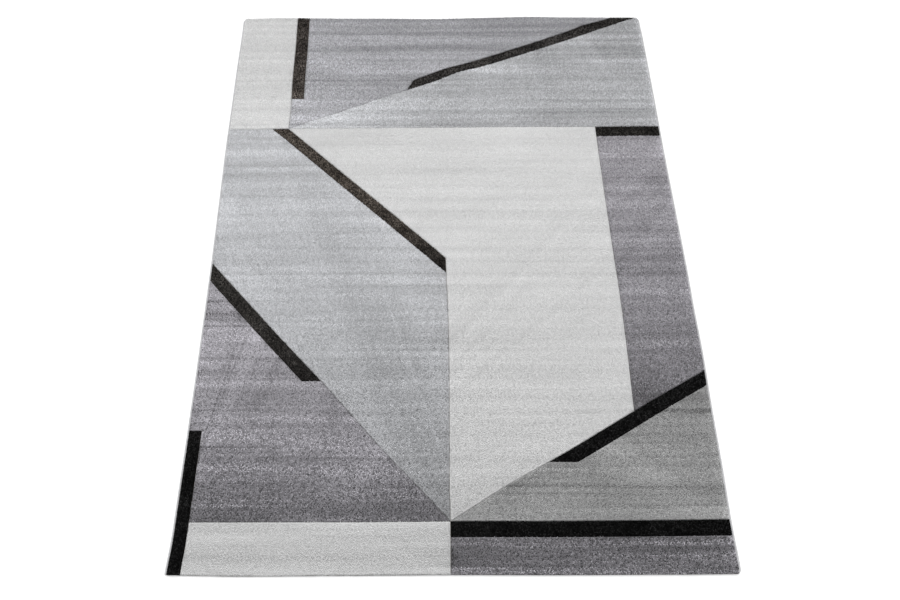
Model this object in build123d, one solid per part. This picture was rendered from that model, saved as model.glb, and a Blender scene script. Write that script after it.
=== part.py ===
from build123d import *
import os

# Area rug: cut pile in carved colour fields, standing on a woven ground.
# The underside is coated and taped, and the long sides are overcast around a cord.
# Origin: middle of the underside. +X across the rug, +Y along it, +Z up through the pile.
# All sizes are in millimetres.

# Overall size
WIDTH = 1600
LENGTH = 2300

# Layers, as heights above the floor
COAT_TOP = 0.8
GROUND_TOP = 3.0
PILE_TOP = 12.0

# Carving between neighbouring pile fields
FIELD_GAP = 0.4
CARVED_WIDTH = 1.6
CARVED_DEPTH = 3.5

# Long sides: a cord, wrapped by the overcast binding
CORD_RADIUS = 1.5
BINDING_RADIUS = 2.5
CORD_CLEARANCE = 0.1
BINDING_REACH = 7.0
LIP_THICKNESS = 1.2
SIDE_GAP = 0.2

# Short ends: a tape glued under the hem and turned up over the cut ground
TAPE_WIDTH = 30
TAPE_LIP = 0.8

# Edges of the pile and of the ground
PILE_X = WIDTH / 2 - BINDING_REACH - FIELD_GAP
PILE_Y = LENGTH / 2
CORD_X = WIDTH / 2 - BINDING_RADIUS
GROUND_X = CORD_X - CORD_RADIUS
GROUND_Y = LENGTH / 2 - TAPE_LIP
COAT_X = WIDTH / 2 - BINDING_REACH - SIDE_GAP
COAT_Y = LENGTH / 2 - TAPE_WIDTH - SIDE_GAP

# The pattern's straight lines
LEFT_X = -578
MIDDLE_X = -6
RIGHT_X = 562
UPPER_Y = 545
LOWER_Y = -992

# The pattern's dark bars
STRAIGHT_BAR = 47
SLANTED_BAR = 45
SLIM_BAR = 42
EDGE_BAR = 44
FAR_BAR_START_Y = 696
NEAR_LEFT_BAR_END_Y = -700
LEFT_BAR_CUT_Y = -528
RIGHT_BAR_CUT_Y = -808
ROUNDED_TIP_X = -112
ROUNDED_TIP_LEAN = 27
ROUNDED_TIP_RADIUS = 30

# Where the slanted lines start and end
UPPER_STAR = (LEFT_X, UPPER_Y)
LOWER_STAR = (MIDDLE_X, LOWER_Y)
VALLEY = (MIDDLE_X, -55)
FAR_MARK = (785, LENGTH / 2)
LEFT_MARK = (-WIDTH / 2, -68)
RIGHT_MARK = (WIDTH / 2, -493)


def at_x(line, x):
    """Point of a slanted line at this x."""
    (x1, y1), (x2, y2) = line
    return (x, y1 + (y2 - y1) * (x - x1) / (x2 - x1))


def at_y(line, y):
    """Point of a slanted line at this y."""
    (x1, y1), (x2, y2) = line
    return (x1 + (x2 - x1) * (y - y1) / (y2 - y1), y)


def moved(line, distance):
    """The same line, moved to its left by a distance (to its right if negative)."""
    start, end = Vector(*line[0]), Vector(*line[1])
    sideways = (end - start).normalized().rotate(Axis.Z, 90) * distance
    return tuple((point.X, point.Y) for point in (start + sideways, end + sideways))


# Slanted lines between the fields, and the far edges of the bars along them
RISING = (UPPER_STAR, FAR_MARK)
RISING_BAR = moved(RISING, SLIM_BAR)
FALLING = (UPPER_STAR, VALLEY)
FALLING_BAR = moved(FALLING, -SLIM_BAR)
LEFT_SLANT = (LEFT_MARK, LOWER_STAR)
LEFT_SLANT_BAR = moved(LEFT_SLANT, -SLANTED_BAR)
RIGHT_SLANT = (LOWER_STAR, RIGHT_MARK)
RIGHT_SLANT_BAR = moved(RIGHT_SLANT, -SLANTED_BAR)

# Blunt left tip of the rising bar
TIP_LOW = at_x(RISING, ROUNDED_TIP_X - ROUNDED_TIP_LEAN)
TIP_HIGH = at_x(RISING_BAR, ROUNDED_TIP_X)


def box_outline(left, right, low, high):
    """Corners of an upright rectangle."""
    return [(left, low), (right, low), (right, high), (left, high)]


def bar_outlines():
    """Outline of each dark bar, by node name."""
    return {
        "pile_bar_far_left": box_outline(LEFT_X, LEFT_X + STRAIGHT_BAR, FAR_BAR_START_Y, PILE_Y),
        "pile_bar_far_rising": [
            TIP_LOW,
            FAR_MARK,
            at_y(RISING_BAR, PILE_Y),
            TIP_HIGH,
        ],
        "pile_bar_upper_right": box_outline(RIGHT_X, PILE_X, UPPER_Y - STRAIGHT_BAR, UPPER_Y),
        "pile_bar_falling": [
            at_y(FALLING_BAR, UPPER_Y),
            at_x(FALLING_BAR, MIDDLE_X),
            VALLEY,
            UPPER_STAR,
        ],
        "pile_bar_left_slanted": [
            at_x(LEFT_SLANT_BAR, -PILE_X),
            at_y(LEFT_SLANT_BAR, LEFT_BAR_CUT_Y),
            at_y(LEFT_SLANT, LEFT_BAR_CUT_Y),
            at_x(LEFT_SLANT, -PILE_X),
        ],
        "pile_bar_near_left": box_outline(
            -PILE_X, EDGE_BAR - WIDTH / 2, -PILE_Y, NEAR_LEFT_BAR_END_Y
        ),
        "pile_bar_near_right": box_outline(MIDDLE_X, PILE_X, LOWER_Y - STRAIGHT_BAR, LOWER_Y),
        "pile_bar_right_slanted": [
            at_y(RIGHT_SLANT_BAR, RIGHT_BAR_CUT_Y),
            at_x(RIGHT_SLANT_BAR, PILE_X),
            at_x(RIGHT_SLANT, PILE_X),
            at_y(RIGHT_SLANT, RIGHT_BAR_CUT_Y),
        ],
    }


def field_outlines():
    """Outline of each large colour field, by node name."""
    far_bar_right = LEFT_X + STRAIGHT_BAR
    near_bar_right = EDGE_BAR - WIDTH / 2
    return {
        "pile_cream_far_left": box_outline(-PILE_X, LEFT_X, UPPER_Y, PILE_Y),
        "pile_grey_far": [
            UPPER_STAR,
            TIP_LOW,
            TIP_HIGH,
            at_y(RISING_BAR, PILE_Y),
            (far_bar_right, PILE_Y),
            (far_bar_right, FAR_BAR_START_Y),
            (LEFT_X, FAR_BAR_START_Y),
        ],
        "pile_grey_wedge": [UPPER_STAR, (PILE_X, UPPER_Y), (PILE_X, PILE_Y), FAR_MARK],
        "pile_cream_centre": [
            UPPER_STAR,
            VALLEY,
            LOWER_STAR,
            at_x(RIGHT_SLANT, RIGHT_X),
            (RIGHT_X, UPPER_Y),
        ],
        "pile_grey_right": [
            at_x(RIGHT_SLANT, RIGHT_X),
            at_x(RIGHT_SLANT, PILE_X),
            (PILE_X, UPPER_Y - STRAIGHT_BAR),
            (RIGHT_X, UPPER_Y - STRAIGHT_BAR),
        ],
        "pile_light_left": [
            at_x(LEFT_SLANT, -PILE_X),
            LOWER_STAR,
            at_x(FALLING_BAR, MIDDLE_X),
            at_y(FALLING_BAR, UPPER_Y),
            (-PILE_X, UPPER_Y),
        ],
        "pile_dark_left": [
            (near_bar_right, LOWER_Y),
            LOWER_STAR,
            at_y(LEFT_SLANT, LEFT_BAR_CUT_Y),
            at_y(LEFT_SLANT_BAR, LEFT_BAR_CUT_Y),
            at_x(LEFT_SLANT_BAR, -PILE_X),
            (-PILE_X, NEAR_LEFT_BAR_END_Y),
            (near_bar_right, NEAR_LEFT_BAR_END_Y),
        ],
        "pile_cream_near_left": box_outline(near_bar_right, MIDDLE_X, -PILE_Y, LOWER_Y),
        "pile_dark_near_right": box_outline(
            MIDDLE_X, PILE_X, -PILE_Y, LOWER_Y - STRAIGHT_BAR
        ),
        "pile_grey_near_right": [
            LOWER_STAR,
            (PILE_X, LOWER_Y),
            at_x(RIGHT_SLANT_BAR, PILE_X),
            at_y(RIGHT_SLANT_BAR, RIGHT_BAR_CUT_Y),
            at_y(RIGHT_SLANT, RIGHT_BAR_CUT_Y),
        ],
    }


def outline_face(outline):
    """Flat face inside an outline, with the corner at the rising bar's tip rounded."""
    face = make_face(Polyline(*outline, close=True))
    if TIP_HIGH in outline:
        corner = face.vertices().sort_by_distance((*TIP_HIGH, 0))[0]
        face = fillet(corner, ROUNDED_TIP_RADIUS)
    return face


def pile_block(outline):
    """Pile field: upright sides, with the top edges carved away to a slope."""
    face = outline_face(outline)
    body_face = offset(face, -FIELD_GAP / 2, kind=Kind.INTERSECTION)
    crown_face = offset(face, -FIELD_GAP / 2 - CARVED_WIDTH, kind=Kind.INTERSECTION)
    shoulder = PILE_TOP - CARVED_DEPTH
    body = extrude(Pos(0, 0, GROUND_TOP) * body_face, shoulder - GROUND_TOP)
    crown = loft([Pos(0, 0, shoulder) * body_face, Pos(0, 0, PILE_TOP) * crown_face], ruled=True)
    return body + crown


def flat_layer(half_x, half_y, low, high):
    """Flat rectangular layer centred on the rug."""
    layer = Box(2 * half_x, 2 * half_y, high - low)
    return Pos(0, 0, (low + high) / 2) * layer


def along_side(profile):
    """Run a cross-section, drawn in X and Z, along the rug's whole length."""
    return extrude(Plane.XZ * profile, LENGTH / 2, both=True)


def selvedge_cord(side):
    """Round cord that stiffens one long side (side is -1 or +1)."""
    return along_side(Pos(side * CORD_X, BINDING_RADIUS) * Circle(CORD_RADIUS))


def side_binding(side):
    """Overcast yarn: a ring around the cord with a lip over and under the ground's edge."""
    centre = Pos(side * CORD_X, BINDING_RADIUS)
    lip_length = BINDING_REACH - BINDING_RADIUS
    lip_x = side * (CORD_X - lip_length / 2)
    upper_lip = Pos(lip_x, GROUND_TOP + LIP_THICKNESS / 2) * Rectangle(lip_length, LIP_THICKNESS)
    lower_lip = Pos(lip_x, COAT_TOP / 2) * Rectangle(lip_length, COAT_TOP)
    ground_slot = Pos(lip_x, (COAT_TOP + GROUND_TOP) / 2) * Rectangle(
        lip_length, GROUND_TOP - COAT_TOP
    )
    wrapped = centre * Circle(BINDING_RADIUS) + upper_lip + lower_lip
    return along_side(wrapped - ground_slot - centre * Circle(CORD_RADIUS + CORD_CLEARANCE))


def end_tape(end):
    """Hem tape of one short end (end is -1 or +1): flat under the hem, turned up at the edge."""
    flat_y = end * (LENGTH - TAPE_WIDTH) / 2
    lip_y = end * (LENGTH - TAPE_LIP) / 2
    flat = Pos(0, flat_y, COAT_TOP / 2) * Box(2 * COAT_X, TAPE_WIDTH, COAT_TOP)
    lip = Pos(0, lip_y, GROUND_TOP / 2) * Box(2 * COAT_X, TAPE_LIP, GROUND_TOP)
    return flat + lip


def rug_parts():
    """Every separate piece of the rug, by node name."""
    parts = {
        "ground_weave": flat_layer(GROUND_X, GROUND_Y, COAT_TOP, GROUND_TOP),
        "back_coat": flat_layer(COAT_X, COAT_Y, 0, COAT_TOP),
        "end_tape_near": end_tape(-1),
        "end_tape_far": end_tape(+1),
    }
    for side, name in ((-1, "left"), (+1, "right")):
        parts["selvedge_cord_" + name] = selvedge_cord(side)
        parts["side_binding_" + name] = side_binding(side)
    for name, outline in {**field_outlines(), **bar_outlines()}.items():
        parts[name] = pile_block(outline)
    return parts


os.makedirs("parts", exist_ok=True)
for node, shape in rug_parts().items():
    export_step(shape, f"parts/{node}.step")
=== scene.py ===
import math
from collections import namedtuple
import bpy
import numpy as np
from mathutils import Matrix, Vector


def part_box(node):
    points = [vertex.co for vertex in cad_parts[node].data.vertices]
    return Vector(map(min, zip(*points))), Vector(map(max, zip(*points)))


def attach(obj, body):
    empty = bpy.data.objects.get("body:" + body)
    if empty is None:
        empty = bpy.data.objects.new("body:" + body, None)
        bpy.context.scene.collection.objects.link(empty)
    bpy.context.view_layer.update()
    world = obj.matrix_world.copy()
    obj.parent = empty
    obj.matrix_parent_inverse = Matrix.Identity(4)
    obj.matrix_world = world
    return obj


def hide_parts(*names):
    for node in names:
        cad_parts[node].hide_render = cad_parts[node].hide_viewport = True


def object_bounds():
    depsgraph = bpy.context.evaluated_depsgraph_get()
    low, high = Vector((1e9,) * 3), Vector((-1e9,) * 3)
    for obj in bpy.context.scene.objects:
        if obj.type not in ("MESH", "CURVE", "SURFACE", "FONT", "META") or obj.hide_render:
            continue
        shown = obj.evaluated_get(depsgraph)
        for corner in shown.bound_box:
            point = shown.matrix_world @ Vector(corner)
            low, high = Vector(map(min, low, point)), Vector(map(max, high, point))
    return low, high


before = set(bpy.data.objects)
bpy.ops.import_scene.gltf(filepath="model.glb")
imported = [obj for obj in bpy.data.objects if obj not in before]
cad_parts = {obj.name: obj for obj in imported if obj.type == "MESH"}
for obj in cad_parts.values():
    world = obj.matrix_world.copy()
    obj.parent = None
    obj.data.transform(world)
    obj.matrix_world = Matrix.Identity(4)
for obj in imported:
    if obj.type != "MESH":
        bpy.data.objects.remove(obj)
CAD_LOW, CAD_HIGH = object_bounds()

# An area rug: cut pile tufts in carved colour fields, on a woven ground with finished edges.
# Lengths are in metres and angles in radians. MM turns millimetres into metres.
MM = 0.001

# Places taken from the frame
HALF_SIZE = np.array([CAD_HIGH.x, CAD_HIGH.y])
PILE_TOP = CAD_HIGH.z
PILE_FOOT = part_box("ground_weave")[1].z
PILE_EDGE_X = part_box("pile_grey_right")[1].x
PILE_EDGE_Y = CAD_HIGH.y

# Tufts of the pile
TUFT_PITCH = 4.8 * MM
ROW_PITCH = TUFT_PITCH * math.sqrt(3) / 2
TUFT_JITTER = 1.2 * MM
TUFT_RADIUS = 3.1 * MM
EDGE_TUFT_RADIUS = 2.3 * MM
EDGE_TUFTS_ABOVE = 0.5
TUFT_LEAN = 0.55 * MM
NAP_LEAN = 0.54 * MM
NAP_LEAN_CHANGE = 0.45 * MM
TIP_SPREAD = 0.45 * MM
TUFT_SINK = 0.5 * MM
BORDER_TUFT_WANDER = 2.2

# Melange: how far a whole tuft and each ply of it stray from the yarn's tone, counted in the
# yarn's own grain, and how dark a tuft can get
TUFT_CONTRAST = 1.6
PLY_CONTRAST = 1.2
DARKEST_TUFT = 0.12

# Packed yarn under the tuft tips: a flat top with bevelled edges
SLAB_TOP = 7.7 * MM
SLAB_INSET = 0.2 * MM
BEVEL_WIDTH = 2.4 * MM
BEVEL_DROP = 2.6 * MM

# Painted shade and light on the yarn: darker roots against tips, a darker bottom of a groove and carved
# borders, and the painted lighter rim of the rug
ROOT_SHADE = 0.8
GROOVE_SHADE = 0.4
CARVED_SHADE = 1.5
CARVED_REACH = 9 * MM
RIM_LIGHT = 0.8
RIM_LIGHT_REACH = 24 * MM

# Carved groove along the border between two fields
GROOVE_HALF_WIDTH = 5.0 * MM
GROOVE_DEPTH = 3.2 * MM
GROOVE_CURVE = 1.3
GROOVE_KEEP_OFF = 0.9 * MM

# Streaks along the weft, painted nap shading: strength, and size of a patch along X and Y
WIDE_BANDS = (0.65, 0.80, 0.020)
FINE_BANDS = (0.45, 0.30, 0.009)
DARK_LINES = (2.4, 0.90, 0.012)
DARK_LINE_START = 0.5
SOFT_PATCHES = (0.30, 0.22, 0.05)
STREAK_LIMIT = 1.2

# Strands that hang over the rug's four edges
STRAND_PITCH = 1.9 * MM
STRAND_RADIUS = 1.35 * MM
STRAND_ROWS = 3
STRAND_JITTER = (0.1, 0.9)
STRAND_OUT = (0.18 * MM, 0.9 * MM)
STRAND_TOPS = (0.72 * PILE_TOP, PILE_TOP)
# Rise of a strand's foot, which sets its painted root shade
STRAND_FOOT_RISE = 0.5
RIM_LEAN = 1.2 * MM
RIM_REACH = 9 * MM

# How the rug lies: rounded corners, a slow drift, wavy edges, a left half and two ends
# pulled in a little, and a right side pushed out
CORNER_RADIUS = 14 * MM
SHARP_CORNER_RADIUS = 4 * MM
DRIFT = 3.0 * MM
DRIFT_PERIOD = 1.7
DRIFT_PEAK_Y = -0.3
SIDE_WAVE = 1.0 * MM
SIDE_WAVE_SIZE = (1.3, 0.22)
END_WAVE = 2.0 * MM
END_WAVE_SIZE = (0.3, 1.5)
LEFT_PULL = 3.2 * MM
LEFT_PULL_END_X = 0.45
LEFT_PULL_FADE = 8
RIGHT_PUSH = 3.5 * MM
RIGHT_PUSH_START_X = 0.45
RIGHT_PUSH_CURVE = 0.7
NEAR_PULL = 3.2 * MM
FAR_PULL = 1.8 * MM
END_PULL_REACH = 0.12
OUTLINE_STEP = 10 * MM

# Small local shifts of the pile, left over from folding: middle, shift and reach along X and Y
RIPPLES = [
    ((-0.63, 1.15), (0, 0.003), (0.10, 0.05)),
    ((-0.55, 1.12), (-0.003, 0), (0.12, 0.12)),
    ((-0.04, 1.15), (0, -0.006), (0.14, 0.05)),
    ((0.35, 1.15), (0, 0.005), (0.11, 0.05)),
    ((0.56, 1.10), (0, 0.008), (0.09, 0.035)),
    ((0.73, 1.14), (-0.010, 0), (0.06, 0.06)),
    ((0.80, 1.15), (-0.006, -0.003), (0.20, 0.35)),
    ((0.40, 0.97), (0, -0.005), (0.42, 0.15)),
    ((0.05, 0.83), (0, 0.011), (0.09, 0.04)),
    ((-0.20, 0.71), (0, 0.004), (0.14, 0.06)),
    ((-0.57, 0.63), (0.004, 0), (0.08, 0.10)),
    ((-0.70, 0.545), (0, -0.004), (0.16, 0.06)),
    ((0.33, 0.545), (0, 0.003), (0.26, 0.06)),
    ((0.70, 0.52), (0, 0.005), (0.18, 0.07)),
    ((0.00, -0.12), (-0.003, 0), (0.10, 0.16)),
    ((0.80, -0.25), (-0.003, 0), (0.12, 0.12)),
    ((-0.55, -0.33), (-0.003, -0.004), (0.30, 0.25)),
    ((0.62, -0.62), (-0.002, 0.004), (0.25, 0.14)),
    ((-0.20, -0.76), (-0.004, -0.004), (0.20, 0.18)),
    ((0.20, -0.88), (-0.003, 0.005), (0.30, 0.08)),
    ((0.75, -1.00), (-0.002, 0.003), (0.30, 0.09)),
    ((-0.80, -1.15), (-0.004, 0.002), (0.12, 0.07)),
    ((-0.56, -1.15), (0, -0.002), (0.16, 0.08)),
]

# Edge finishing
STITCH_PITCH = 3.2 * MM
STITCH_SLANT = 0.6
STITCH_RELIEF = 0.16
STITCH_ROUNDNESS = 0.7
CORD_TWIST_PITCH = 6 * MM
CORD_RELIEF = 0.2
PLY_ROUNDNESS = 0.8
SHEET_STEP = 14 * MM

# Cut yarn ends under the short ends, dark yarn that is partly a painted shadow line under the
# pile's edge: where they start, how far they go sideways, out and up, and how far they are turned
FRAY_PITCH = 0.8 * MM
FRAY_BUNCH = 14 * MM
FRAY_GAPS_BELOW = -0.1
FRAY_RADIUS = 1.1 * MM
FRAY_START_IN = 0.5 * MM
FRAY_START_UP = (1.2 * MM, 2.6 * MM)
FRAY_SIDEWAYS = 1.6 * MM
FRAY_OUT = (0.9 * MM, 1.8 * MM)
FRAY_UP = (0.5 * MM, 6.5 * MM)
FRAY_TURN = 6

# Fibre grain on the pile yarn
FIBRE_SIZE = 1.2 * MM
FIBRE_DEPTH = 0.35 * MM
FIBRE_CONTRAST = 0.3
YARN_ROUGHNESS = (0.82, 0.97)

# Plied thread: fine strands along the wrap over uneven dye
THREAD_STRAND = 0.9 * MM
THREAD_STRETCH = (1, 0.35, 1)
THREAD_DYE_PATCH = 14 * MM
THREAD_STRAND_SHARE = 0.7
THREAD_DEPTH = 0.4 * MM

# Woven cloth: crossed warps and wefts over cloudy dye
WEAVE_UNEVENNESS = 0.6
WEAVE_SHARE = 0.6
WEAVE_DEPTH = 0.5 * MM
CLOTH_CLOUD = 90 * MM


# ---------------------------------------------------------------- numbers and outlines


def smooth_noise(x, y, size_x, size_y, seed):
    """Smooth random values from -1 to 1, in patches of about size_x by size_y."""
    cells = 256
    grid = np.random.default_rng(seed).uniform(-1, 1, (cells, cells))
    u, v = x / size_x, y / size_y
    i, j = np.floor(u).astype(int), np.floor(v).astype(int)
    s, t = u - i, v - j
    s, t = s * s * (3 - 2 * s), t * t * (3 - 2 * t)

    def at(column, row):
        return grid[column % cells, row % cells]

    low = at(i, j) * (1 - s) + at(i + 1, j) * s
    high = at(i, j + 1) * (1 - s) + at(i + 1, j + 1) * s
    return low * (1 - t) + high * t


def outline(node):
    """A CAD node's outline, anticlockwise: the edge of its lowest flat face."""
    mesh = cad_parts[node].data
    low = min(vertex.co.z for vertex in mesh.vertices)
    spots = [(round(v.co.x, 6), round(v.co.y, 6)) for v in mesh.vertices]
    sides = set()
    for face in mesh.polygons:
        if all(abs(mesh.vertices[i].co.z - low) < 0.01 * MM for i in face.vertices):
            corners = [spots[i] for i in reversed(face.vertices)]
            sides.update(zip(corners, corners[1:] + corners[:1]))
    following = {a: b for a, b in sides if (b, a) not in sides}
    loop = [min(following)]
    while following[loop[-1]] != loop[0]:
        loop.append(following[loop[-1]])
    return np.array(loop)


def loop_edges(loop):
    """Start and end of each straight run of an outline."""
    return list(zip(loop, np.roll(loop, -1, axis=0)))


def between(loop, moved):
    """A moved copy of an outline, with points added at even steps along the original's straight runs."""
    runs = []
    for (start, end), (moved_start, moved_end) in zip(loop_edges(loop), loop_edges(moved)):
        count = max(1, math.ceil(np.linalg.norm(end - start) / OUTLINE_STEP))
        runs.append(moved_start + (moved_end - moved_start) * np.arange(count)[:, None] / count)
    return np.concatenate(runs)


def inset(loop, distance):
    """The outline moved inwards by a distance, with its corners kept sharp."""
    run = np.roll(loop, -1, axis=0) - loop
    run /= np.linalg.norm(run, axis=1)[:, None]
    after = np.stack([-run[:, 1], run[:, 0]], axis=1)
    before = np.roll(after, 1, axis=0)
    return loop + distance * (before + after) / (1 + (before * after).sum(axis=1))[:, None]


def inside(points, loop):
    """Which of the points lie inside an outline."""
    x, y = points.T
    found = np.zeros(len(points), bool)
    for (x1, y1), (x2, y2) in loop_edges(loop):
        if y1 != y2:
            crossed = (y1 > y) != (y2 > y)
            found ^= crossed & (x < (x2 - x1) * (y - y1) / (y2 - y1) + x1)
    return found


def distance_to(points, start, end):
    """Distance from each point to a straight run."""
    run = end - start
    share = np.clip((points - start) @ run / (run @ run), 0, 1)
    return np.linalg.norm(points - start - share[:, None] * run, axis=1)


def on_rim(start, end):
    """The outward direction if this run of a pile outline is on the rug's edge, else None."""
    for axis, edge in ((0, PILE_EDGE_X), (1, PILE_EDGE_Y)):
        reach = np.array([start[axis], end[axis]])
        if abs(reach[0] - reach[1]) < 0.1 * MM and abs(abs(reach[0]) - edge) < 1 * MM:
            outward = np.zeros(2)
            outward[axis] = np.sign(reach[0])
            return outward
    return None


def lay(points):
    """Where points of the straight rug end up as it lies: rounded corners and wavy edges."""
    laid = np.array(points, float)
    sharp = (laid[:, :2] < 0).all(axis=1)
    centre = HALF_SIZE - np.where(sharp, SHARP_CORNER_RADIUS, CORNER_RADIUS)[:, None]
    reach = np.abs(laid[:, :2]) - centre
    corner = (reach > 0).all(axis=1)
    reach[corner] *= (reach[corner].max(axis=1) / np.hypot(*reach[corner].T))[:, None]
    laid[corner, :2] = np.sign(laid[corner, :2]) * (centre + reach)[corner]
    x, y = laid[:, 0].copy(), laid[:, 1].copy()
    laid[:, 0] += DRIFT * np.cos(2 * math.pi * (y - DRIFT_PEAK_Y) / DRIFT_PERIOD)
    laid[:, 0] += SIDE_WAVE * smooth_noise(x, y, *SIDE_WAVE_SIZE, seed=3)
    laid[:, 1] += END_WAVE * smooth_noise(x, y, *END_WAVE_SIZE, seed=4)
    left = np.clip(1 - x / LEFT_PULL_END_X, 0, 1)
    laid[:, 0] += LEFT_PULL * left * (1 - np.abs(y / HALF_SIZE[1]) ** LEFT_PULL_FADE)
    right = np.clip((x - RIGHT_PUSH_START_X) / (HALF_SIZE[0] - RIGHT_PUSH_START_X), 0, 1)
    laid[:, 0] += RIGHT_PUSH * right**RIGHT_PUSH_CURVE
    end = np.clip(1 - (HALF_SIZE[1] - np.abs(y)) / END_PULL_REACH, 0, 1)
    laid[:, 1] += end * np.where(y < 0, NEAR_PULL, -FAR_PULL)
    for middle, shift, reach in RIPPLES:
        strength = np.exp(-(((x - middle[0]) / reach[0]) ** 2) - ((y - middle[1]) / reach[1]) ** 2)
        laid[:, :2] += strength[:, None] * shift
    return laid


# ---------------------------------------------------------------- mesh building


def mesh_piece(name, points, faces, values=None):
    """A laid mesh object. faces is a list of arrays, one row of corner numbers per face."""
    points = lay(points)
    corners = np.concatenate([np.asarray(group).ravel() for group in faces])
    sizes = np.concatenate([np.full(len(group), np.shape(group)[1]) for group in faces])
    mesh = bpy.data.meshes.new(name)
    mesh.vertices.add(len(points))
    mesh.vertices.foreach_set("co", points.ravel())
    mesh.loops.add(len(corners))
    mesh.loops.foreach_set("vertex_index", corners)
    mesh.polygons.add(len(sizes))
    mesh.polygons.foreach_set("loop_start", np.concatenate([[0], np.cumsum(sizes)[:-1]]))
    mesh.polygons.foreach_set("use_smooth", np.ones(len(sizes), bool))
    mesh.update(calc_edges=True)
    for key, numbers in (values or {}).items():
        mesh.attributes.new(key, "FLOAT", "POINT").data.foreach_set("value", numbers)
    piece = bpy.data.objects.new(name, mesh)
    bpy.context.scene.collection.objects.link(piece)
    return piece


def flat_map(piece):
    """Lays the bake map out flat, seen from above, so that each tuft keeps its own colour."""
    mesh = piece.data
    points = np.empty(len(mesh.vertices) * 3)
    mesh.vertices.foreach_get("co", points)
    points = points.reshape(-1, 3)[:, :2]
    corners = np.empty(len(mesh.loops), int)
    mesh.loops.foreach_get("vertex_index", corners)
    spread = (points - points.min(axis=0)) / (points.max(axis=0) - points.min(axis=0))
    mesh.uv_layers.new(name="OFBake").data.foreach_set("uv", spread[corners].ravel())


def grid_faces(columns, rows, wrap=False):
    """Quads between columns x rows of points, numbered along each row."""
    across = np.arange(columns if wrap else columns - 1)
    up = np.arange(rows - 1)[:, None] * columns
    right = (across + 1) % columns
    corners = [up + across, up + right, up + columns + right, up + columns + across]
    return np.stack(corners, -1).reshape(-1, 4)


def place(piece, node, material):
    """Puts a finished piece on the frame in place of its CAD node."""
    piece.data.materials.append(material)
    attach(piece, "root")
    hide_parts(node)
    return piece


# ---------------------------------------------------------------- pile


def tuft_lattice():
    """Every tuft's place: staggered rows with a little jitter."""
    rows = np.arange(-PILE_EDGE_Y + ROW_PITCH / 2, PILE_EDGE_Y, ROW_PITCH)
    columns = np.arange(-PILE_EDGE_X, PILE_EDGE_X, TUFT_PITCH)
    x, y = np.meshgrid(columns, rows)
    x[1::2] += TUFT_PITCH / 2
    spots = np.stack([x.ravel(), y.ravel()], axis=1)
    return spots + np.random.default_rng(11).uniform(-TUFT_JITTER, TUFT_JITTER, spots.shape)


def streaks(x, y):
    """Shade differences along the weft, painted into the yarn colour as nap shading and also used to vary
    the lean: wide and fine bands, a few dark lines and soft patches.
    """
    shade = np.zeros_like(x)
    for (strength, *size), seed in ((WIDE_BANDS, 21), (FINE_BANDS, 22), (SOFT_PATCHES, 23)):
        shade += strength * smooth_noise(x, y, *size, seed)
    strength, *size = DARK_LINES
    shade -= strength * np.clip(smooth_noise(x, y, *size, seed=24) - DARK_LINE_START, 0, 1)
    return np.clip(shade, -STREAK_LIMIT, STREAK_LIMIT)


def spikes(foot, tip, radius, turn):
    """Closed three-sided yarn tufts: points and faces. foot and tip are N x 3 arrays."""
    count = len(foot)
    angle = turn[:, None] + np.arange(3) * 2 * math.pi / 3
    ring = np.stack([np.cos(angle), np.sin(angle), np.zeros_like(angle)], -1)
    points = np.concatenate([foot[:, None] + ring * radius[:, None, None], tip[:, None]], axis=1)
    pattern = np.array([[0, 1, 3], [1, 2, 3], [2, 0, 3], [2, 1, 0]])
    faces = np.arange(count)[:, None, None] * 4 + pattern
    return points.reshape(-1, 3), faces.reshape(-1, 3)


def melange(count, rng):
    """Random tone of each corner of each tuft: partly the tuft's own, partly the single ply's."""
    tuft = rng.uniform(-TUFT_CONTRAST, TUFT_CONTRAST, (count, 1))
    return (tuft + rng.uniform(-PLY_CONTRAST, PLY_CONTRAST, (count, 4))).ravel()


def rim_shade(outward):
    """How much lighter the pile is painted at a rim, a painted highlight: only on the two edges the nap lies
    towards.
    """
    return RIM_LIGHT * max(0.0, outward[0] - outward[1])


def surface_height(edge_distance):
    """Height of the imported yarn, which falls away towards a field's outline."""
    return SLAB_TOP - BEVEL_DROP * np.clip(1 - edge_distance / BEVEL_WIDTH, 0, 1)


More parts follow.
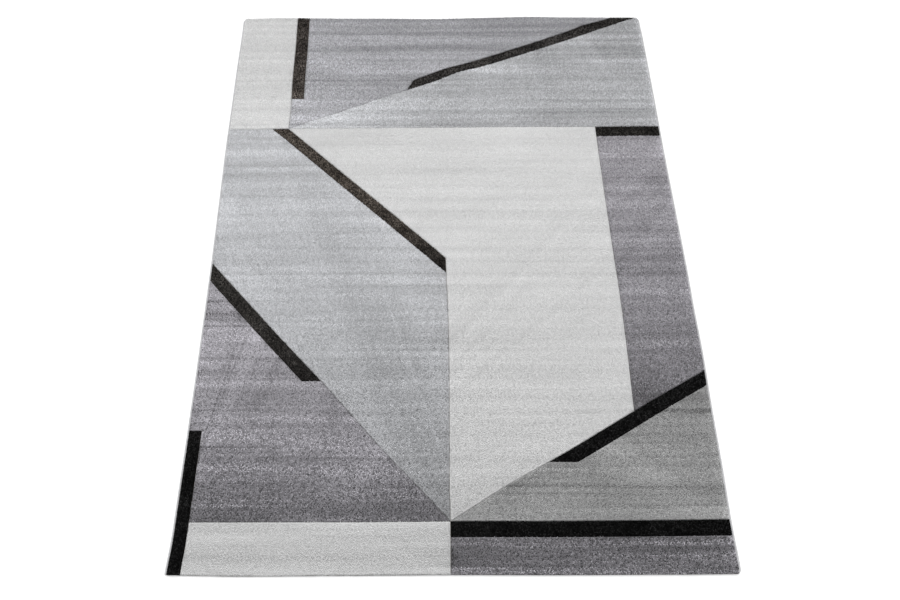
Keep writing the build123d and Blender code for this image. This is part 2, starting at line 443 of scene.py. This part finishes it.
def field_tufts(loop, spots, rng):
    """Tufts that stand in one field, lower along carved borders and leaning out at the rim."""
    spots = spots[inside(spots, inset(loop, GROOVE_KEEP_OFF))]
    count = len(spots)
    groove, rim = np.ones(count), np.ones(count)
    rim_light, carved = np.zeros(count), np.zeros(count)
    rim_lean = np.zeros((count, 2))
    for start, end in loop_edges(loop):
        away = distance_to(spots, start, end)
        outward = on_rim(start, end)
        if outward is None:
            groove = np.minimum(groove, away)
            steepness = abs(end[1] - start[1]) / np.linalg.norm(end - start)
            carved = np.maximum(carved, steepness**2 * np.clip(1 - away / CARVED_REACH, 0, 1))
        else:
            rim = np.minimum(rim, away)
            lit = np.clip(1 - away / RIM_LIGHT_REACH, 0, 1)
            rim_light = np.maximum(rim_light, rim_shade(outward) * lit)
            rim_lean += outward * np.clip(1 - away / RIM_REACH, 0, 1)[:, None] * RIM_LEAN
    shade = streaks(*spots.T)
    carve = np.clip(1 - groove / GROOVE_HALF_WIDTH, 0, 1)
    wander = 1 + BORDER_TUFT_WANDER * carve
    lean = rng.normal(0, TUFT_LEAN, (count, 2)) * wander[:, None] + rim_lean
    lean[:, 1] += NAP_LEAN + NAP_LEAN_CHANGE * shade
    ground = surface_height(np.minimum(groove, rim))
    foot = np.column_stack([spots, ground - TUFT_SINK])
    height = PILE_TOP - TIP_SPREAD * rng.random(count) - carve**GROOVE_CURVE * GROOVE_DEPTH
    tip = np.column_stack([spots + lean, height])
    radius = np.where(carve > EDGE_TUFTS_ABOVE, EDGE_TUFT_RADIUS, TUFT_RADIUS)
    points, faces = spikes(foot, tip, radius, rng.uniform(0, 2 * math.pi, count))
    # rise paints shade on the tuft feet: the lower a foot stands on a bevel, the darker
    rise = np.zeros((count, 4))
    rise[:, :3] = (GROOVE_SHADE * (ground - SLAB_TOP) / BEVEL_DROP)[:, None]
    rise[:, 3] = 1
    # Painted light and shade: a lighter rim and darker carved borders
    shade += rim_light - CARVED_SHADE * carved
    return points, faces, melange(count, rng), shade, rise.ravel()


def rim_strands(loop, rng):
    """Long strands down the pile's face along the rug's edges, in a few staggered rows."""
    feet, tips, shades = [], [], []
    for start, end in loop_edges(loop):
        outward = on_rim(start, end)
        if outward is None:
            continue
        length = np.linalg.norm(end - start)
        for row in range(STRAND_ROWS):
            count = max(1, int(length / STRAND_PITCH))
            share = (np.arange(count) + rng.uniform(*STRAND_JITTER, count)) / count
            spot = start + (end - start) * share[:, None] - outward * row * STRAND_RADIUS
            reach = rng.uniform(*STRAND_OUT, count)
            top = rng.uniform(*STRAND_TOPS, count)
            feet.append(np.column_stack([spot, np.full(count, PILE_FOOT)]))
            tips.append(np.column_stack([spot + outward * reach[:, None], top]))
            # Painted nap shading and the painted rim highlight on the strands
            shades.append(streaks(*spot.T) + rim_shade(outward))
    if not feet:
        return np.zeros((0, 3)), np.zeros((0, 3), int), np.zeros(0), np.zeros(0), np.zeros(0)
    feet, tips = np.concatenate(feet), np.concatenate(tips)
    radius = np.full(len(feet), STRAND_RADIUS)
    points, faces = spikes(feet, tips, radius, rng.uniform(0, 2 * math.pi, len(feet)))
    # Strand feet get painted root shade
    rise = np.tile([STRAND_FOOT_RISE] * 3 + [1], len(feet))
    return points, faces, melange(len(feet), rng), np.concatenate(shades), rise


def packed_yarn(loop):
    """Closed body of packed yarn that fills a field up to the tufts: points, faces and rise."""
    edge = between(loop, inset(loop, SLAB_INSET))
    crown = between(loop, inset(loop, SLAB_INSET + BEVEL_WIDTH))
    count = len(edge)
    rings = [(edge, PILE_FOOT), (edge, SLAB_TOP - BEVEL_DROP), (crown, SLAB_TOP)]
    points = np.concatenate([np.column_stack([ring, np.full(count, z)]) for ring, z in rings])
    first = np.arange(count)
    faces = [first[::-1][None], (first + 2 * count)[None], grid_faces(count, 3, wrap=True)]
    # rise paints shade on the packed yarn: root shade on the crown, darker still down the bevel into the
    # groove
    return points, faces, np.repeat([-GROOVE_SHADE, -GROOVE_SHADE, 0.0], count)


def light_gradient_along(points, loop, direction, steepness):
    """How far points lie from a field's near end (0) to its far end (1), rising faster at first."""
    low, high = (loop @ direction).min(), (loop @ direction).max()
    return 1 - np.clip((high - points @ direction) / (high - low), 0, 1) ** steepness


def pile_piece(node, spots, painted_light_gradient, seed):
    """One colour field of the pile: packed yarn with every tuft standing on it."""
    rng = np.random.default_rng(seed)
    loop = outline(node)
    slab, slab_faces, slab_rise = packed_yarn(loop)
    tufts, tuft_faces, tuft_tone, tuft_shade, tuft_rise = field_tufts(loop, spots, rng)
    strands, strand_faces, strand_tone, strand_shade, strand_rise = rim_strands(loop, rng)
    points = np.concatenate([slab, tufts, strands])
    faces = slab_faces + [tuft_faces + len(slab), strand_faces + len(slab) + len(tufts)]
    yarn_shade = np.repeat(np.append(tuft_shade, strand_shade), 4)
    # shade, rise and the painted light gradient carry painted light and shade to the material
    values = {
        "tone": np.concatenate([np.zeros(len(slab)), tuft_tone, strand_tone]),
        "shade": np.concatenate([streaks(*slab[:, :2].T), yarn_shade]),
        "painted_light_gradient": light_gradient_along(points[:, :2], loop, *painted_light_gradient),
        "rise": np.concatenate([slab_rise, tuft_rise, strand_rise]),
    }
    piece = mesh_piece(node + "_tufts", points, faces, values)
    smooth = np.ones(len(piece.data.polygons), bool)
    smooth[: sum(len(group) for group in slab_faces)] = False
    piece.data.polygons.foreach_set("use_smooth", smooth)
    flat_map(piece)
    return piece


# ---------------------------------------------------------------- ground and edges


def flat_sheet(name, node):
    """A closed thin sheet over a flat CAD layer, fine enough to follow how the rug lies."""
    low, high = (np.array(corner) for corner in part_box(node))
    columns, rows = (np.ceil((high - low)[:2] / SHEET_STEP).astype(int) + 1).tolist()
    x, y = np.meshgrid(np.linspace(low[0], high[0], columns), np.linspace(low[1], high[1], rows))
    layers = [np.column_stack([x.ravel(), y.ravel(), np.full(x.size, z)]) for z in (low[2], high[2])]
    top = grid_faces(columns, rows) + x.size
    bottom = grid_faces(columns, rows)[:, ::-1]
    numbers = np.arange(x.size).reshape(rows, columns)
    ring = np.concatenate([numbers[0, :-1], numbers[:-1, -1], numbers[-1, :0:-1], numbers[:0:-1, 0]])
    sides = np.stack([ring, np.roll(ring, -1), np.roll(ring, -1) + x.size, ring + x.size], -1)
    return mesh_piece(name, np.concatenate(layers), [top, bottom, sides])


def ribbed_tube(name, low, high, ridges, relief, step, around=14):
    """A closed tube along Y inside a box, its skin ribbed by ridges(y, angle) from 0 to 1."""
    centre, half = (low + high) / 2, (high - low) / 2
    rows = math.ceil((high.y - low.y) / step) + 1
    y = np.linspace(low.y, high.y, rows)[:, None]
    angle = np.arange(around) * 2 * math.pi / around
    size = 1 - relief * (1 - ridges(y, angle))
    x = centre.x + half.x * np.cos(angle) * size
    z = centre.z + half.z * np.sin(angle) * size
    points = np.stack([x, np.broadcast_to(y, x.shape), z], -1).reshape(-1, 3)
    first = np.arange(around)[None]
    caps = [first, (first + (rows - 1) * around)[:, ::-1]]
    return mesh_piece(name, points, caps + [grid_faces(around, rows, wrap=True)[:, ::-1]])


def overcast(y, angle):
    """Rounded yarn turns of the binding, slanting round the edge."""
    turn = y / STITCH_PITCH + STITCH_SLANT * np.sin(angle)
    return np.abs(np.sin(math.pi * turn)) ** STITCH_ROUNDNESS


def two_ply(y, angle):
    """Two plies twisted round each other."""
    return np.abs(np.sin(angle + math.pi * y / CORD_TWIST_PITCH)) ** PLY_ROUNDNESS


def hem_tape(name, node, end):
    """Tape under one short end, turned up at the edge, with cut yarn ends sticking out of it."""
    low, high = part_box(node)
    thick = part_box("back_coat")[1].z
    rim = high.y if end > 0 else low.y
    under = low.y if end > 0 else high.y
    inner = rim - end * thick
    section = [(under, 0), (rim, 0), (rim, high.z), (inner, high.z), (inner, thick), (under, thick)]
    columns = math.ceil((high.x - low.x) / OUTLINE_STEP) + 1
    x = np.linspace(low.x, high.x, columns)
    points = np.array([(across, y, z) for across in x for y, z in section])
    corners = np.arange(len(section))
    order = -end
    caps = [corners[None, ::order], (corners + len(points) - len(section))[None, ::-order]]
    tube = grid_faces(len(section), columns, wrap=True)[:, ::order]
    fray, fray_faces = cut_ends(low.x, high.x, rim, end)
    return mesh_piece(name, np.concatenate([points, fray]), caps + [tube, fray_faces + len(points)])


def cut_ends(left, right, rim, end):
    """Ragged bunches of dark cut yarn ends along a short end, partly a painted shadow line under the pile's
    edge: points and faces.
    """
    rng = np.random.default_rng(31 + end)
    foot_x = rng.uniform(left, right, int((right - left) / FRAY_PITCH))
    bunch = smooth_noise(foot_x, 0 * foot_x, FRAY_BUNCH, 1, seed=33 + end)
    foot_x = foot_x[bunch > FRAY_GAPS_BELOW]
    count = len(foot_x)
    foot_y = np.full(count, rim - end * FRAY_START_IN)
    foot = np.column_stack([foot_x, foot_y, rng.uniform(*FRAY_START_UP, count)])
    sideways = rng.normal(0, FRAY_SIDEWAYS, count)
    out = end * rng.uniform(*FRAY_OUT, count)
    reach = np.column_stack([sideways, out, rng.uniform(*FRAY_UP, count)])
    turn = rng.uniform(0, FRAY_TURN, count)
    return spikes(foot, foot + reach, np.full(count, FRAY_RADIUS), turn)


# ---------------------------------------------------------------- materials


class Shader:
    """A node material under construction."""

    def __init__(self, name, roughness, sheen, specular=0.25):
        self.material = bpy.data.materials.new(name)
        self.material.use_nodes = True
        self.nodes = self.material.node_tree.nodes
        self.links = self.material.node_tree.links
        self.surface = self.nodes["Principled BSDF"]
        self.surface.inputs["Roughness"].default_value = roughness
        self.surface.inputs["Specular IOR Level"].default_value = specular
        self.surface.inputs["Sheen Weight"].default_value = sheen
        self.place = self.add("ShaderNodeTexCoord").outputs["Object"]

    def add(self, kind, settings=None, **inputs):
        """A node with its settings, and its inputs given as numbers or as other sockets."""
        node = self.nodes.new(kind)
        for key, value in (settings or {}).items():
            setattr(node, key, value)
        for key, value in inputs.items():
            socket = node.inputs[int(key[1:])] if key[0] == "_" else node.inputs[key.replace("_", " ")]
            if isinstance(value, bpy.types.NodeSocket):
                self.links.new(value, socket)
            else:
                socket.default_value = value
        return node

    def attribute(self, key):
        """A number stored on the mesh's points."""
        return self.add("ShaderNodeAttribute", {"attribute_name": key}).outputs["Fac"]

    def math(self, operation, first, second, third=0.0):
        """One sum on numbers or sockets. MULTIPLY_ADD gives first * second + third."""
        return self.add("ShaderNodeMath", {"operation": operation}, _0=first, _1=second, _2=third).outputs[0]

    def blend(self, share, first, second):
        """A share of the first number and the rest of the second."""
        return self.math("MULTIPLY_ADD", first, share, self.math("MULTIPLY", second, 1 - share))

    def scaled(self, colour, factor):
        """A colour made brighter or darker by a factor."""
        return self.add("ShaderNodeVectorMath", {"operation": "SCALE"}, _0=colour, Scale=factor).outputs[0]

    def noise(self, size, detail=2.0, stretch=(1, 1, 1)):
        """Noise from about 0 to 1, in specks or patches of this size."""
        scaled = self.add("ShaderNodeVectorMath", {"operation": "MULTIPLY"}, _0=self.place, _1=stretch)
        return self.add(
            "ShaderNodeTexNoise", Vector=scaled.outputs[0], Scale=1 / size, Detail=detail
        ).outputs["Fac"]

    def ramp(self, value, stops):
        """Colour ramp through (position, colour) stops."""
        node = self.add("ShaderNodeValToRGB", Fac=value)
        band = node.color_ramp
        while len(band.elements) < len(stops):
            band.elements.new(1.0)
        for element, (at, colour) in zip(band.elements, stops):
            element.position = at
            element.color = (*colour, 1)
        return node.outputs["Color"]

    def mix(self, amount, first, second):
        """A mix of two colours: all first at 0, all second at 1."""
        node = self.add("ShaderNodeMix", {"data_type": "RGBA", "blend_type": "MIX"})
        for socket, value in ((0, amount), (6, first), (7, second)):
            if isinstance(value, bpy.types.NodeSocket):
                self.links.new(value, node.inputs[socket])
            else:
                node.inputs[socket].default_value = value if socket == 0 else (*value, 1)
        return node.outputs[2]

    def finish(self, colour, bump, bump_depth, bump_strength=0.6, roughness=None):
        """Joins colour, bump and roughness to the surface, and gives the material."""
        self.links.new(colour, self.surface.inputs["Base Color"])
        relief = self.add("ShaderNodeBump", Height=bump, Strength=bump_strength, Distance=bump_depth)
        self.links.new(relief.outputs["Normal"], self.surface.inputs["Normal"])
        if roughness is not None:
            self.links.new(roughness, self.surface.inputs["Roughness"])
        return self.material


def tinted(colour, factor):
    """A colour made brighter or darker, up to full white."""
    return tuple(min(1.0, channel * factor) for channel in colour)


def yarn_material(name, yarn, patchiness=0.0):
    """Cut pile yarn: melange tufts, painted nap shading in streaks, painted shade at the roots and in
    grooves, a painted highlight at the rim, a painted light gradient from near to far, fine fibre grain and
    a soft sheen.
    """
    shader = Shader(name, roughness=0.9, sheen=yarn.sheen, specular=yarn.specular)
    painted_light_gradient = shader.attribute("painted_light_gradient")
    # Painted light gradient: a field's near and far brightness, mixed along it
    colour = shader.mix(painted_light_gradient, yarn.near, yarn.far)
    fibre = shader.noise(FIBRE_SIZE, detail=3.0)
    grain = shader.math("MULTIPLY_ADD", painted_light_gradient, yarn.grain_far - yarn.grain_near, yarn.grain_near)
    gain = shader.math("MULTIPLY_ADD", grain, shader.attribute("tone"), 1.0)
    gain = shader.math("MAXIMUM", gain, DARKEST_TUFT)
    factors = [
        # Painted nap shading, rim highlight and carved border shade
        shader.math("MULTIPLY_ADD", shader.attribute("shade"), yarn.streak, 1.0),
        shader.math("MULTIPLY_ADD", fibre, FIBRE_CONTRAST, 1 - FIBRE_CONTRAST / 2),
        # Painted shade at the roots and in grooves
        shader.math("MULTIPLY_ADD", shader.attribute("rise"), 1 - ROOT_SHADE, ROOT_SHADE),
    ]
    if patchiness:
        patches = shader.noise(BAR_PATCH, detail=1.0)
        factors.append(shader.math("MULTIPLY_ADD", patches, patchiness, 1 - patchiness / 2))
    for factor in factors:
        gain = shader.math("MULTIPLY", gain, factor)
    smoothest, roughest = YARN_ROUGHNESS
    roughness = shader.math("MULTIPLY_ADD", fibre, roughest - smoothest, smoothest)
    return shader.finish(shader.scaled(colour, gain), fibre, FIBRE_DEPTH, roughness=roughness)


def thread_material(name, colour, contrast, sheen=0.15):
    """Plied thread for bindings and cords: fine strands along the wrap, with uneven dye."""
    shader = Shader(name, roughness=0.85, sheen=sheen)
    strands = shader.noise(THREAD_STRAND, detail=3.0, stretch=THREAD_STRETCH)
    uneven = shader.noise(THREAD_DYE_PATCH, detail=2.0)
    mixed = shader.blend(THREAD_STRAND_SHARE, strands, uneven)
    body = shader.ramp(mixed, [(0.3, tinted(colour, 1 - contrast)), (0.7, tinted(colour, 1 + contrast))])
    return shader.finish(body, strands, THREAD_DEPTH)


def cloth_material(name, colour, contrast, pitch, roughness):
    """Woven cloth, bare or under a thin coat: warps and wefts crossing at a regular pitch."""
    shader = Shader(name, roughness=roughness, sheen=0.05)
    crossed = []
    for direction in ("X", "Y"):
        wave = shader.add(
            "ShaderNodeTexWave", {"bands_direction": direction},
            Vector=shader.place, Scale=0.5 / pitch / math.pi, Distortion=WEAVE_UNEVENNESS, Detail=2.0,
        )
        crossed.append(wave.outputs["Fac"])
    weave = shader.math("MULTIPLY", crossed[0], crossed[1])
    mixed = shader.blend(WEAVE_SHARE, weave, shader.noise(CLOTH_CLOUD, detail=4.0))
    body = shader.ramp(mixed, [(0.1, tinted(colour, 1 - contrast)), (0.8, tinted(colour, 1 + contrast))])
    return shader.finish(body, weave, WEAVE_DEPTH)


# ---------------------------------------------------------------- the rug

Yarn = namedtuple("Yarn", "slot far near grain_far grain_near streak sheen specular")


def pile_yarn(slot, tint, far, near, grain_far, grain_near, streak):
    """Yarn of a large field: tint, brightness far and near as a painted light gradient, and contrast of
    tufts and of the painted nap shading in streaks.
    """
    return Yarn(
        slot, tinted(tint, far), tinted(tint, near), grain_far, grain_near, streak,
        sheen=0.15, specular=0.2,
    )


def bar_yarn(far, near, grain=0.9):
    """Near-black yarn of a dark bar, with a painted sheen that makes it browner and lighter towards one end.
    """
    return Yarn("black_pile", far, near, grain, grain, streak=0.30, sheen=0.0, specular=0.03)


NEUTRAL = (1.0, 1.0, 1.0)
COOL = (0.99, 1.0, 1.03)
LILAC = (1.0, 1.0, 1.05)
VIOLET = (1.03, 1.0, 1.07)
# Each field's far and near brightness is a painted light gradient, fields of one yarn are lit and shaded
# copies of it, and streak sets the strength of the painted nap shading
FIELDS = {
    "pile_cream_far_left": pile_yarn("cream_pile", NEUTRAL, 0.76, 0.83, 0.075, 0.075, 0.10),
    "pile_cream_centre": pile_yarn("cream_pile", NEUTRAL, 0.79, 0.62, 0.04, 0.12, 0.10),
    "pile_cream_near_left": pile_yarn("cream_pile", NEUTRAL, 0.66, 0.65, 0.04, 0.04, 0.18),
    "pile_light_left": pile_yarn("light_grey_pile", COOL, 0.67, 0.35, 0.14, 0.34, 0.22),
    "pile_grey_wedge": pile_yarn("silver_grey_pile", COOL, 0.53, 0.80, 0.19, 0.19, 0.33),
    "pile_grey_far": pile_yarn("mid_grey_pile", LILAC, 0.435, 0.61, 0.17, 0.27, 0.32),
    "pile_grey_right": pile_yarn("mid_grey_pile", VIOLET, 0.40, 0.15, 0.25, 0.52, 0.34),
    "pile_grey_near_right": pile_yarn("mid_grey_pile", NEUTRAL, 0.30, 0.475, 0.25, 0.25, 0.45),
    "pile_dark_left": pile_yarn("dark_grey_pile", VIOLET, 0.41, 0.20, 0.28, 0.74, 0.65),
    "pile_dark_near_right": pile_yarn("dark_grey_pile", VIOLET, 0.22, 0.22, 0.62, 0.62, 0.75),
}
# The far bars are painted browner and lighter than the near ones: painted sheen
BARS = {
    "pile_bar_far_left": bar_yarn((0.064, 0.056, 0.051), (0.105, 0.091, 0.081)),
    "pile_bar_far_rising": bar_yarn((0.046, 0.043, 0.041), (0.044, 0.041, 0.039)),
    "pile_bar_falling": bar_yarn((0.090, 0.077, 0.066), (0.028, 0.026, 0.024)),
    "pile_bar_upper_right": bar_yarn((0.030, 0.028, 0.026), (0.030, 0.028, 0.026)),
    "pile_bar_left_slanted": bar_yarn((0.045, 0.042, 0.039), (0.028, 0.026, 0.025)),
    "pile_bar_right_slanted": bar_yarn((0.009, 0.009, 0.009), (0.006, 0.006, 0.006), 1.9),
    "pile_bar_near_left": bar_yarn((0.009, 0.009, 0.009), (0.008, 0.008, 0.008), 1.9),
    "pile_bar_near_right": bar_yarn((0.007, 0.007, 0.007), (0.007, 0.007, 0.007), 1.9),
}

# Direction of a field's painted light gradient from its near to its far colour, and how early the change
# comes
USUAL_PAINTED_LIGHT_GRADIENT = ((0, 1), 3)
PAINTED_LIGHT_GRADIENTS = {
    "pile_grey_wedge": ((1, 0), 2),
    "pile_grey_far": ((1, 1), 2),
    "pile_grey_near_right": ((1, 1), 1),
    "pile_dark_left": ((0, 1), 4),
}

# Uneven dye of the bars
BAR_PATCHINESS = 1.6
BAR_PATCH = 60 * MM


def build_pile():
    """Every pile field and bar, on one shared lattice of tufts."""
    spots = tuft_lattice()
    pieces = []
    for number, (node, yarn) in enumerate({**FIELDS, **BARS}.items()):
        patchiness = BAR_PATCHINESS if node in BARS else 0.0
        material = yarn_material(node + "_yarn", yarn, patchiness)
        piece = pile_piece(node, spots, PAINTED_LIGHT_GRADIENTS.get(node, USUAL_PAINTED_LIGHT_GRADIENT), seed=100 + number)
        pieces.append(place(piece, node, material))
    return pieces


def build_sides():
    """Selvedge cords and the overcast binding round them."""
    binding = thread_material("binding_thread", (0.44, 0.44, 0.45), 0.3)
    cord = thread_material("cord_thread", (0.50, 0.47, 0.42), 0.3)
    pieces = []
    for side in ("left", "right"):
        for node, slot, ridges, relief, step, material in (
            ("side_binding_", "binding_yarn", overcast, STITCH_RELIEF, STITCH_PITCH / 6, binding),
            ("selvedge_cord_", "selvedge_cord", two_ply, CORD_RELIEF, CORD_TWIST_PITCH / 8, cord),
        ):
            low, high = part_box(node + side)
            tube = ribbed_tube(node + side + "_yarn", low, high, ridges, relief, step)
            pieces.append(place(tube, node + side, material))
    return pieces


def build_ends():
    """Hem tapes of the two short ends."""
    # The near-black tape cloth also colours the cut ends, partly a painted shadow under the pile's edge
    material = cloth_material("hem_tape_cloth", (0.030, 0.028, 0.027), 0.4, 1.2 * MM, 0.85)
    pieces = []
    for node, end in (("end_tape_near", -1), ("end_tape_far", +1)):
        pieces.append(place(hem_tape(node + "_cloth", node, end), node, material))
    return pieces


def build_ground(others):
    """Woven ground and its back coat, which in the rug carries every other piece. The argument others is not
    used.
    """
    size_material = cloth_material("back_size_coat", (0.46, 0.43, 0.37), 0.25, 3.5 * MM, 0.75)
    coat = place(flat_sheet("back_coat_layer", "back_coat"), "back_coat", size_material)
    ground_material = cloth_material("ground_cloth", (0.40, 0.36, 0.29), 0.35, 3.0 * MM, 0.9)
    ground = flat_sheet("ground_weave_cloth", "ground_weave")
    place(ground, "ground_weave", ground_material)


# ---------------------------------------------------------------- studio


def build_floor():
    """Plain pale floor."""
    bpy.ops.mesh.primitive_plane_add(size=60, location=(0, 0, 0))
    floor = bpy.context.object
    floor.name = "floor"
    shader = Shader("floor_paint", roughness=0.9, sheen=0.0)
    body = shader.ramp(shader.noise(1.5), [(0.3, (0.90, 0.90, 0.90)), (0.7, (0.92, 0.92, 0.92))])
    floor.data.materials.append(shader.finish(body, shader.noise(0.02), 0.01 * MM))


def soft_sun(name, direction, softness, power):
    """A distant lamp that shines along a direction, with soft shadows (softness in degrees)."""
    light = bpy.data.lights.new(name, "SUN")
    light.angle = math.radians(softness)
    light.energy = power
    lamp = bpy.data.objects.new(name, light)
    lamp.rotation_euler = Vector(direction).to_track_quat("-Z", "Y").to_euler()
    bpy.context.scene.collection.objects.link(lamp)


def build_light():
    """White surroundings with one large soft lamp over the far end."""
    world = bpy.data.worlds.new("studio")
    bpy.context.scene.world = world
    world.use_nodes = True
    world.node_tree.nodes["Background"].inputs["Strength"].default_value = 1.0
    world.node_tree.nodes["Background"].inputs["Color"].default_value = (1, 1, 1, 1)
    soft_sun("soft_key", direction=(0.15, -0.45, -1.0), softness=50, power=1.3)
    bpy.context.scene.view_settings.view_transform = "Standard"


def build_camera():
    """Camera above the near end, looking down along the rug."""
    heading, depression, roll = (math.radians(angle) for angle in (0.193, 55.787, -0.387))
    camera = bpy.data.objects.new("camera", bpy.data.cameras.new("camera"))
    camera.data.sensor_width = 36
    camera.data.lens = 41.07
    camera.data.shift_x = 0.0359
    spot = Matrix.Translation((-0.0925, -2.1207, 2.7939))
    turn = Matrix.Rotation(heading, 4, "Z") @ Matrix.Rotation(math.pi / 2 - depression, 4, "X")
    camera.matrix_world = spot @ turn @ Matrix.Rotation(roll, 4, "Z")
    bpy.context.scene.collection.objects.link(camera)
    bpy.context.scene.camera = camera


build_ground(build_pile() + build_sides() + build_ends())
build_floor()
build_light()
build_camera()
